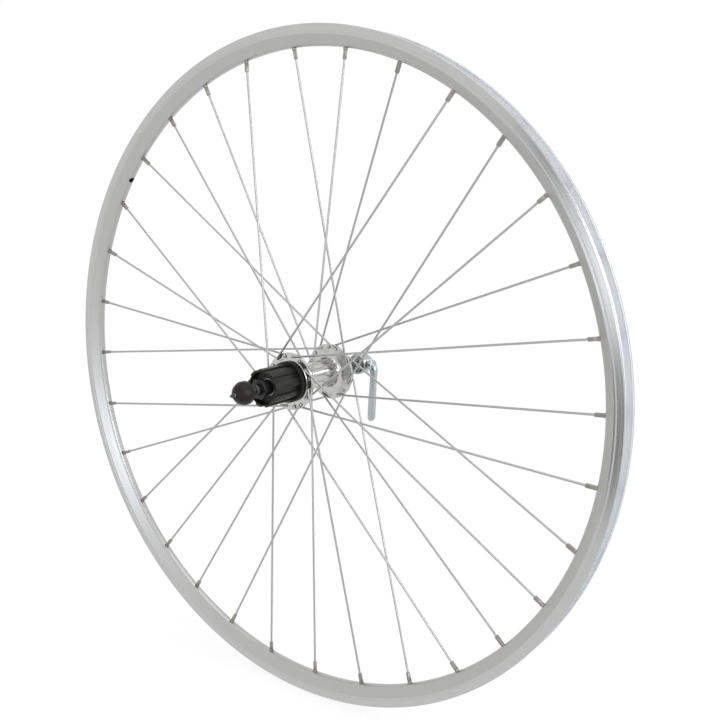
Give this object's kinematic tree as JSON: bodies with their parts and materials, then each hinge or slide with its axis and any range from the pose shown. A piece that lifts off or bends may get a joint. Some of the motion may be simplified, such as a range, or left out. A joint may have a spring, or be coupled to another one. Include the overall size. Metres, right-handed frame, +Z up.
{
  "type": "bicycle wheel",
  "caption": "Bare rear bicycle wheel with a double-wall alloy rim, crossed wire spokes, a flanged hub, a splined freehub and a quick-release skewer.",
  "frame": {"origin": "centre of the wheel on the axle, midway between the two locknut faces", "axes": "+Y along the axle toward the lever side, +Z up with the lever hanging down, +X to the right seen from the drive side"},
  "size_m": [0.6348, 0.1985, 0.6348],
  "materials": {
    "rim_metal": "satin silver with brushed brake tracks",
    "spoke_steel": "plain drawn stainless wire",
    "nipple_brass": "nickel-plated, slightly dulled",
    "hub_metal": "polished silver",
    "bearing_steel": "ground steel",
    "axle_steel": "plain steel",
    "dark_steel": "black oxide",
    "black_metal": "black anodised",
    "nut_black": "gloss black",
    "cam_metal": "grey-silver, satin",
    "lever_metal": "polished silver",
    "spring_steel": "bright spring wire"
  },
  "bodies": {
    "axle_set": {"axle": "axle_steel", "hub_bearing_inner_rings": "bearing_steel", "freehub_bearing_inner_rings": "bearing_steel", "axle_spacers": "axle_steel", "end_spacer_drive": "dark_steel", "end_spacer_left": "dark_steel", "locknuts": "dark_steel", "spring_drive": "spring_steel", "spring_left": "spring_steel"},
    "wheel": {"rim": "rim_metal", "spokes_drive_outside": "spoke_steel", "spokes_drive_inside": "spoke_steel", "spokes_left_outside": "spoke_steel", "spokes_left_inside": "spoke_steel", "nipples": "nipple_brass", "hub_shell": "hub_metal", "hub_bearing_outer_rings": "bearing_steel"},
    "freehub": {"freehub_body": "black_metal", "freehub_bearing_outer_rings": "bearing_steel"},
    "skewer_head": {"skewer_head": "cam_metal"},
    "skewer_lever": {"skewer_lever": "lever_metal"},
    "skewer_rod": {"skewer_rod": "axle_steel"},
    "skewer_nut": {"skewer_nut": "nut_black"}
  },
  "joints": [
    {"name": "wheel_spin", "type": "hinge", "parent": "axle_set", "child": "wheel", "pos_m": [0, 0, 0], "axis": [0, 1, 0], "continuous": true},
    {"name": "freehub_spin", "type": "hinge", "parent": "axle_set", "child": "freehub", "pos_m": [0, -0.04, 0], "axis": [0, 1, 0], "continuous": true},
    {"name": "skewer_float", "type": "slide", "parent": "axle_set", "child": "skewer_head", "axis": [0, 1, 0], "range_m": [-0.003, 0.003], "stiffness_N_per_m": 400, "deforming": ["spring_drive", "spring_left"]},
    {"name": "lever_turn", "type": "hinge", "parent": "skewer_head", "child": "skewer_lever", "pos_m": [0, 0.088, 0], "axis": [1, 0, 0], "range_deg": [0, 180]},
    {"name": "rod_draw", "type": "slide", "parent": "skewer_head", "child": "skewer_rod", "axis": [0, 1, 0], "range_m": [-0.0026, 0.0001]},
    {"name": "nut_travel", "type": "slide", "parent": "skewer_rod", "child": "skewer_nut", "axis": [0, -1, 0], "range_m": [-0.003, 0.01], "deforming": ["spring_drive"]}
  ],
  "couplings": [
    {"joint": "rod_draw", "follows": "lever_turn", "m_per_rad": -0.00079577}
  ]
}
